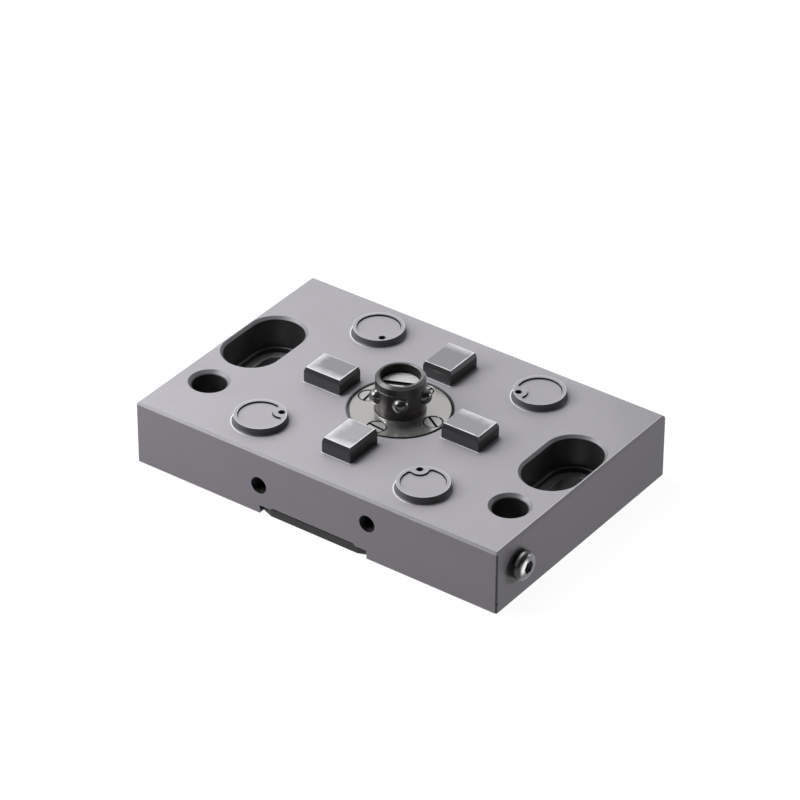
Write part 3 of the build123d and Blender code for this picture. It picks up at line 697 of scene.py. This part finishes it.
def nose_steel():
    """Dark turned steel, lighter towards the right as painted light, with a lighter bevel at the top,
    painted shade in the bore and a ground flange at the foot.
    """
    graph = Graph("nose_steel")
    x, y, z = graph.axes
    radius = graph.radius(x, y)
    turning = graph.noise((0.01, 0.01, 7.0))
    mottle, grain = graph.mottle(), graph.grain()
    flange = graph.band(z, PLATE_TOP - 0.1, PLATE_TOP - 0.03, PLATE_TOP + 0.04, PLATE_TOP + 0.12)
    rim = graph.product(
        graph.step(z, NOSE_TOP - 1.45, NOSE_TOP - 1.2),
        graph.step(radius, NOSE_BORE_RADIUS + 0.05, NOSE_BORE_RADIUS + 0.2),
    )
    bore = graph.product(
        graph.step(radius, NOSE_BORE_RADIUS + 0.15, NOSE_BORE_RADIUS + 0.05),
        graph.step(z, PLATE_TOP + 2.0, PLATE_TOP + 3.0),
    )
    painted_light_rightward = graph.step(graph.along(x, y, TO_PICTURE_RIGHT), -12.0, 12.0)
    wall = graph.brighten(NOSE_TONES["wall"], graph.spread(turning, 0.8, 1.2))
    # Painted light: the wall and its bevel lighten towards the right
    graph.colour = graph.brighten(wall, graph.spread(painted_light_rightward, 0.55, 1.45))
    graph.paint(rim, graph.brighten(NOSE_TONES["bevel"], graph.spread(painted_light_rightward, 0.6, 1.8)))
    # Painted shade in the bore
    graph.paint(bore, BLACK)
    paint_flange(graph, radius, flange, mottle)
    graph.paint(graph.edges(0.25), NOSE_TONES["worn"], 0.5)
    graph.shader.inputs["Specular IOR Level"].default_value = 0.2
    graph.bump(graph.sum(turning, grain), 0.002)
    roughness = graph.math("MULTIPLY_ADD", bore, 0.3, graph.spread(flange, 0.28, 0.20))
    return graph.finish(roughness, graph.spread(flange, 0.6, 0.85))


def bolt_steel():
    """Bright turned steel with fine rings round the axis, and painted shade in its slot and below its
    top.
    """
    graph = Graph("bolt_steel")
    x, y, z = graph.axes
    rings = graph.math("SINE", graph.product(graph.radius(x, y), 2 * math.pi / BOLT_RING_PITCH))
    mottle = graph.noise((0.15, 0.15, 0.15), 3.0, 0.6)
    graph.colour = graph.brighten((0.82, 0.82, 0.815), graph.spread(mottle, 0.95, 1.03))
    # Painted shade below the top: in the slot and down the bolt
    graph.paint(graph.step(z, BOLT_TOP - 0.1, BOLT_TOP - 0.25), BLACK)
    graph.bump(rings, 0.002)
    return graph.finish(0.36, 0.25)


def plug_colour(graph):
    """The side plug's head, with painted shade on the left, a painted reflection as a bright patch, and a
    painted highlight on its edge.
    """
    across = graph.less(graph.axes[1], PLUG_Y)
    above = graph.less(graph.axes[2], PLUG_Z)
    reach = graph.radius(across, above)
    to_glint = graph.math("DIVIDE", graph.along(across, above, TO_GLINT), reach)
    glint = graph.product(
        graph.step(to_glint, 0.5, 0.95),
        graph.step(reach, 6.4, 4.8),
        graph.step(graph.axes[0], PLUG_TOP - 1.6, PLUG_TOP - 1.2),
    )
    to_edge = graph.math("DIVIDE", graph.along(across, above, TO_BRIGHT_EDGE), reach)
    edge = graph.product(graph.step(to_edge, 0.80, 0.92), graph.step(reach, 7.2, 7.35))
    # Painted shade on the left; the glint is a painted reflection and the edge a painted highlight
    head = graph.mix(graph.step(across, -4.4, -6.6), SCREW_TONES["plug"], SCREW_TONES["plug_shaded_left"])
    return graph.mix(graph.larger(glint, edge), head, SCREW_TONES["glint"])


def screw_steel():
    """Bright plated steel, dark in the slots as painted shade and in the hexagon socket of the side plug.
    """
    graph = Graph("screw_steel")
    x, y, z = graph.axes
    mottle = graph.noise((0.5, 0.5, 0.5), 3.0, 0.6)
    plug = graph.step(x, PLATE_X - 1.0, PLATE_X)
    outline = graph.product(screw_outline(graph), graph.less(1.0, plug))
    slot = graph.product(
        graph.step(z, SCREW_TOP - 0.1, SCREW_TOP - 0.3), graph.step(x, PLATE_X - 2.0, PLATE_X - 3.0)
    )
    socket = graph.product(
        graph.step(graph.radius(y, z, PLUG_Y, PLUG_Z), SOCKET_REACH, SOCKET_REACH - 0.15),
        graph.step(x, PLUG_TOP - 0.15, PLUG_TOP - 0.5),
    )
    steel = graph.mix(plug, SCREW_TONES["flange_screw"], plug_colour(graph))
    graph.colour = graph.brighten(steel, graph.spread(mottle, 0.88, 1.12))
    # Dark outlines round the heads, and painted shade in the slots
    graph.paint(graph.larger(outline, slot), BLACK)
    graph.paint(socket, SCREW_TONES["socket"])
    graph.bump(mottle, 0.003)
    return graph.finish(graph.spread(mottle, 0.26, 0.36), graph.spread(plug, 0.6, 0.85))


def plain_metal(name, colour, roughness, metallic, wear=0.3):
    """One metal with slight mottling, and with brighter edges as far as they are worn."""
    graph = Graph(name)
    mottle = graph.noise((0.4, 0.4, 0.4), 3.0, 0.6)
    bright = tuple(min(1.0, 0.25 + 1.6 * part) for part in colour)
    graph.colour = graph.brighten(colour, graph.spread(mottle, 0.88, 1.12))
    graph.paint(graph.edges(0.2), bright, wear)
    graph.bump(mottle, 0.004)
    return graph.finish(graph.spread(mottle, roughness - 0.05, roughness + 0.05), metallic)


def rubber():
    """Matt black rubber."""
    graph = Graph("seal_rubber_look")
    speckle = graph.noise((6.0, 6.0, 6.0), 2.0, 0.6)
    graph.colour = graph.brighten((0.022, 0.022, 0.023), graph.spread(speckle, 0.8, 1.2))
    graph.bump(speckle, 0.01)
    return graph.finish(0.62, 0.0)


def dress(frame):
    """Gives each node of the frame its material, and returns the materials."""
    looks = {
        "ground_steel": plate_steel(),
        "prong_steel": prong_steel(),
        "nose_steel": nose_steel(),
        "ball_steel": plain_metal("ball_steel_look", (0.18, 0.18, 0.175), 0.2, 0.9, wear=0.0),
        "bolt_steel": bolt_steel(),
        "spring_steel": plain_metal("spring_steel_look", (0.22, 0.22, 0.225), 0.35, 0.9),
        "bright_screws": screw_steel(),
        "black_screws": plain_metal("black_screws_look", (0.03, 0.03, 0.032), 0.4, 0.5),
        "cover_black": plain_metal("cover_black_look", (0.024, 0.024, 0.026), 0.55, 0.0),
        "seal_rubber": rubber(),
    }
    for part in frame["record"]["subparts"]:
        node = frame["nodes"][part["node"]]
        for place in node.material_slots:
            place.material = looks[part["material_slot"]]
    return looks


def finish_mesh(name, form):
    """Turns a bmesh into a smooth object in the scene."""
    bmesh.ops.recalc_face_normals(form, faces=form.faces)
    mesh = bpy.data.meshes.new(name)
    form.to_mesh(mesh)
    form.free()
    mesh.shade_smooth()
    piece = bpy.data.objects.new(name, mesh)
    bpy.context.scene.collection.objects.link(piece)
    return piece


def join_rings(form, ring, after):
    """Faces between two rings of vertices of a closed section."""
    for place in range(len(ring)):
        form.faces.new((ring[place - 1], after[place - 1], after[place], ring[place]))


def lathe(form, profile, steps):
    """Adds a closed profile of (radius, height) points, turned round the Z axis."""
    rings = []
    for step in range(steps):
        turn = 2 * math.pi * step / steps
        places = [(r * math.cos(turn), r * math.sin(turn), height) for r, height in profile]
        rings.append([form.verts.new([MM * length for length in place]) for place in places])
    for ring, after in zip(rings, rings[1:] + rings[:1]):
        join_rings(form, ring, after)


def rounded_profile(corners, radius, steps=3):
    """The corners of a closed profile, each rounded to an arc of short straight runs."""
    points = []
    for place, corner in enumerate(corners):
        corner = Vector(corner)
        before = (Vector(corners[place - 1]) - corner).normalized()
        after = (Vector(corners[(place + 1) % len(corners)]) - corner).normalized()
        start, end = corner + before * radius, corner + after * radius
        for step in range(steps + 1):
            share = step / steps
            points.append(tuple(start.lerp(corner, share).lerp(corner.lerp(end, share), share)))
    return points


def add_disc_springs(look):
    """Disc springs with rounded edges, in place of the hidden CAD springs, fixed to the chuck."""
    height = SPRING_ROOF - SPRING_SEAT
    pitch = height / SPRING_COUNT
    cone = pitch - SPRING_THICKNESS - SPRING_GAP
    form = bmesh.new()
    for index in range(SPRING_COUNT):
        bottom = SPRING_SEAT + index * pitch + SPRING_GAP / 2
        inner = bottom + (cone if index % 2 else 0)
        outer = bottom + (0 if index % 2 else cone)
        corners = [
            (SPRING_INNER, inner),
            (SPRING_OUTER, outer),
            (SPRING_OUTER, outer + SPRING_THICKNESS),
            (SPRING_INNER, inner + SPRING_THICKNESS),
        ]
        lathe(form, rounded_profile(corners, SPRING_ROUNDING), SPRING_STEPS)
    springs = finish_mesh("disc_spring_pack", form)
    springs.data.materials.append(look)
    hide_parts("disc_springs")
    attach(springs, "chuck")
    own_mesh(springs)


def add_port_thread(name, centre_x, centre_z, look):
    """The crests of the thread in one front port, as a helical ridge on the wall of its bore."""
    root = PORT_RADIUS + THREAD_ROOT
    crest = PORT_RADIUS - THREAD_HEIGHT
    section = ((root, -THREAD_HALF_WIDTH), (crest, 0), (root, THREAD_HALF_WIDTH))
    steps = THREAD_TURNS * THREAD_STEPS
    form = bmesh.new()
    rings = []
    for step in range(steps + 1):
        turn = 2 * math.pi * step / THREAD_STEPS
        middle = THREAD_START + THREAD_PITCH * step / THREAD_STEPS - PLATE_Y
        fade = min(1.0, step / THREAD_FADE_STEPS, (steps - step) / THREAD_FADE_STEPS)
        ring = []
        for radius, offset in section:
            reach = root + (radius - root) * fade
            x = centre_x + reach * math.cos(turn)
            z = centre_z + reach * math.sin(turn)
            ring.append(form.verts.new((x * MM, (middle + offset * fade) * MM, z * MM)))
        rings.append(ring)
    for ring, after in zip(rings, rings[1:]):
        join_rings(form, ring, after)
    form.faces.new(rings[0])
    form.faces.new(reversed(rings[-1]))
    thread = finish_mesh(name, form)
    thread.data.materials.append(look)
    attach(thread, "chuck")


def ray_kinds(nodes, links):
    """A factor that is 1 for camera, glossy and transmission rays."""
    path = nodes.new("ShaderNodeLightPath")
    result = path.outputs["Is Camera Ray"]
    for name in ("Is Glossy Ray", "Is Transmission Ray"):
        larger = nodes.new("ShaderNodeMath")
        larger.operation = "MAXIMUM"
        links.new(result, larger.inputs[0])
        links.new(path.outputs[name], larger.inputs[1])
        result = larger.outputs[0]
    return result


def floor_material():
    """White where it is seen or mirrored, with the object's shadow, and grey to other rays."""
    material = bpy.data.materials.new("floor_white")
    material.use_nodes = True
    nodes = material.node_tree.nodes
    links = material.node_tree.links
    nodes.clear()
    output = nodes.new("ShaderNodeOutputMaterial")
    seen = nodes.new("ShaderNodeMixShader")
    lit = nodes.new("ShaderNodeMixShader")
    paper = nodes.new("ShaderNodeBsdfDiffuse")
    dull = nodes.new("ShaderNodeBsdfDiffuse")
    glow = nodes.new("ShaderNodeEmission")
    paper.inputs["Color"].default_value = FLOOR_WHITE
    dull.inputs["Color"].default_value = FLOOR_GREY
    glow.inputs["Strength"].default_value = FLOOR_GLOW
    lit.inputs[0].default_value = FLOOR_GLOW_SHARE
    links.new(paper.outputs[0], lit.inputs[1])
    links.new(glow.outputs[0], lit.inputs[2])
    links.new(ray_kinds(nodes, links), seen.inputs[0])
    links.new(dull.outputs[0], seen.inputs[1])
    links.new(lit.outputs[0], seen.inputs[2])
    links.new(seen.outputs[0], output.inputs[0])
    return material


def add_floor():
    """A large pale floor just under the plate."""
    mesh = bpy.data.meshes.new("floor")
    half = FLOOR_SIZE / 2
    corners = [(-half, -half, 0), (half, -half, 0), (half, half, 0), (-half, half, 0)]
    mesh.from_pydata(corners, [], [(0, 1, 2, 3)])
    mesh.materials.append(floor_material())
    floor = bpy.data.objects.new("floor", mesh)
    floor.location.z = -FLOOR_DROP
    bpy.context.scene.collection.objects.link(floor)


def add_softbox(name, direction, distance, side, power):
    """A square area lamp that faces the object from a direction."""
    lamp = bpy.data.lights.new(name, "AREA")
    lamp.shape = "SQUARE"
    lamp.size = side
    lamp.energy = power
    holder = bpy.data.objects.new(name, lamp)
    away = Vector(direction).normalized()
    holder.location = away * distance
    holder.rotation_mode = "QUATERNION"
    holder.rotation_quaternion = away.to_track_quat("Z", "Y")
    bpy.context.scene.collection.objects.link(holder)


def add_world():
    """A dim room that is lighter overhead and behind the object."""
    world = bpy.data.worlds.new("studio")
    world.use_nodes = True
    bpy.context.scene.world = world
    nodes = world.node_tree.nodes
    links = world.node_tree.links
    background = nodes["Background"]
    background.inputs["Color"].default_value = (1.0, 1.0, 1.0, 1.0)
    direction = nodes.new("ShaderNodeTexCoord")
    dot = nodes.new("ShaderNodeVectorMath")
    dot.operation = "DOT_PRODUCT"
    dot.inputs[1].default_value = Vector(ROOM_LIGHTEST).normalized()
    ramp = nodes.new("ShaderNodeMapRange")
    names = ("From Min", "From Max", "To Min", "To Max")
    for socket, value in zip(names, ROOM_COSINES + ROOM_STRENGTHS):
        ramp.inputs[socket].default_value = value
    links.new(direction.outputs["Generated"], dot.inputs[0])
    links.new(dot.outputs["Value"], ramp.inputs["Value"])
    links.new(ramp.outputs[0], background.inputs["Strength"])


def add_camera():
    """The photograph's camera."""
    azimuth, elevation, roll = CAMERA_AZIMUTH, CAMERA_ELEVATION, CAMERA_ROLL
    back = Vector(
        (
            math.sin(azimuth) * math.cos(elevation),
            -math.cos(azimuth) * math.cos(elevation),
            math.sin(elevation),
        )
    )
    level_right = Vector((math.cos(azimuth), math.sin(azimuth), 0))
    level_up = back.cross(level_right)
    right = level_right * math.cos(roll) + level_up * math.sin(roll)
    up = level_up * math.cos(roll) - level_right * math.sin(roll)
    camera = bpy.data.objects.new("camera", bpy.data.cameras.new("camera"))
    camera.data.lens = CAMERA_LENS
    camera.data.sensor_width = CAMERA_SENSOR
    place = right * CAMERA_AIM_RIGHT + up * CAMERA_AIM_UP + back * CAMERA_DISTANCE
    turn = Matrix((right, up, back)).transposed().to_4x4()
    camera.matrix_world = Matrix.Translation(place) @ turn
    bpy.context.scene.collection.objects.link(camera)
    bpy.context.scene.camera = camera


def add_studio():
    """Floor, room, lamps and camera."""
    bpy.context.scene.view_settings.view_transform = "Standard"
    add_floor()
    add_world()
    for name, (direction, distance, side, power) in SOFTBOXES.items():
        add_softbox(name, direction, distance, side, power)
    add_camera()


with open("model.json") as file:
    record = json.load(file)
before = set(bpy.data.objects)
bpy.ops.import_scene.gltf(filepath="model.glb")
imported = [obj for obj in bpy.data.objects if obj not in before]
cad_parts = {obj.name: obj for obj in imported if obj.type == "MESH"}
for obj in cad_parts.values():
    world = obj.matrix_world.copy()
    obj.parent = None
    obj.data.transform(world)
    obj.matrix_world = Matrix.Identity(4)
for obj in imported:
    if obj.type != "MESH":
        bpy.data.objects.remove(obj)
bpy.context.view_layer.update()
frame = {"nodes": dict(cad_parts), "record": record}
looks = dress(frame)
add_disc_springs(looks["spring_steel"])
for name, (centre_x, centre_z) in PORTS.items():
    add_port_thread(name, centre_x, centre_z, looks["ground_steel"])
add_studio()
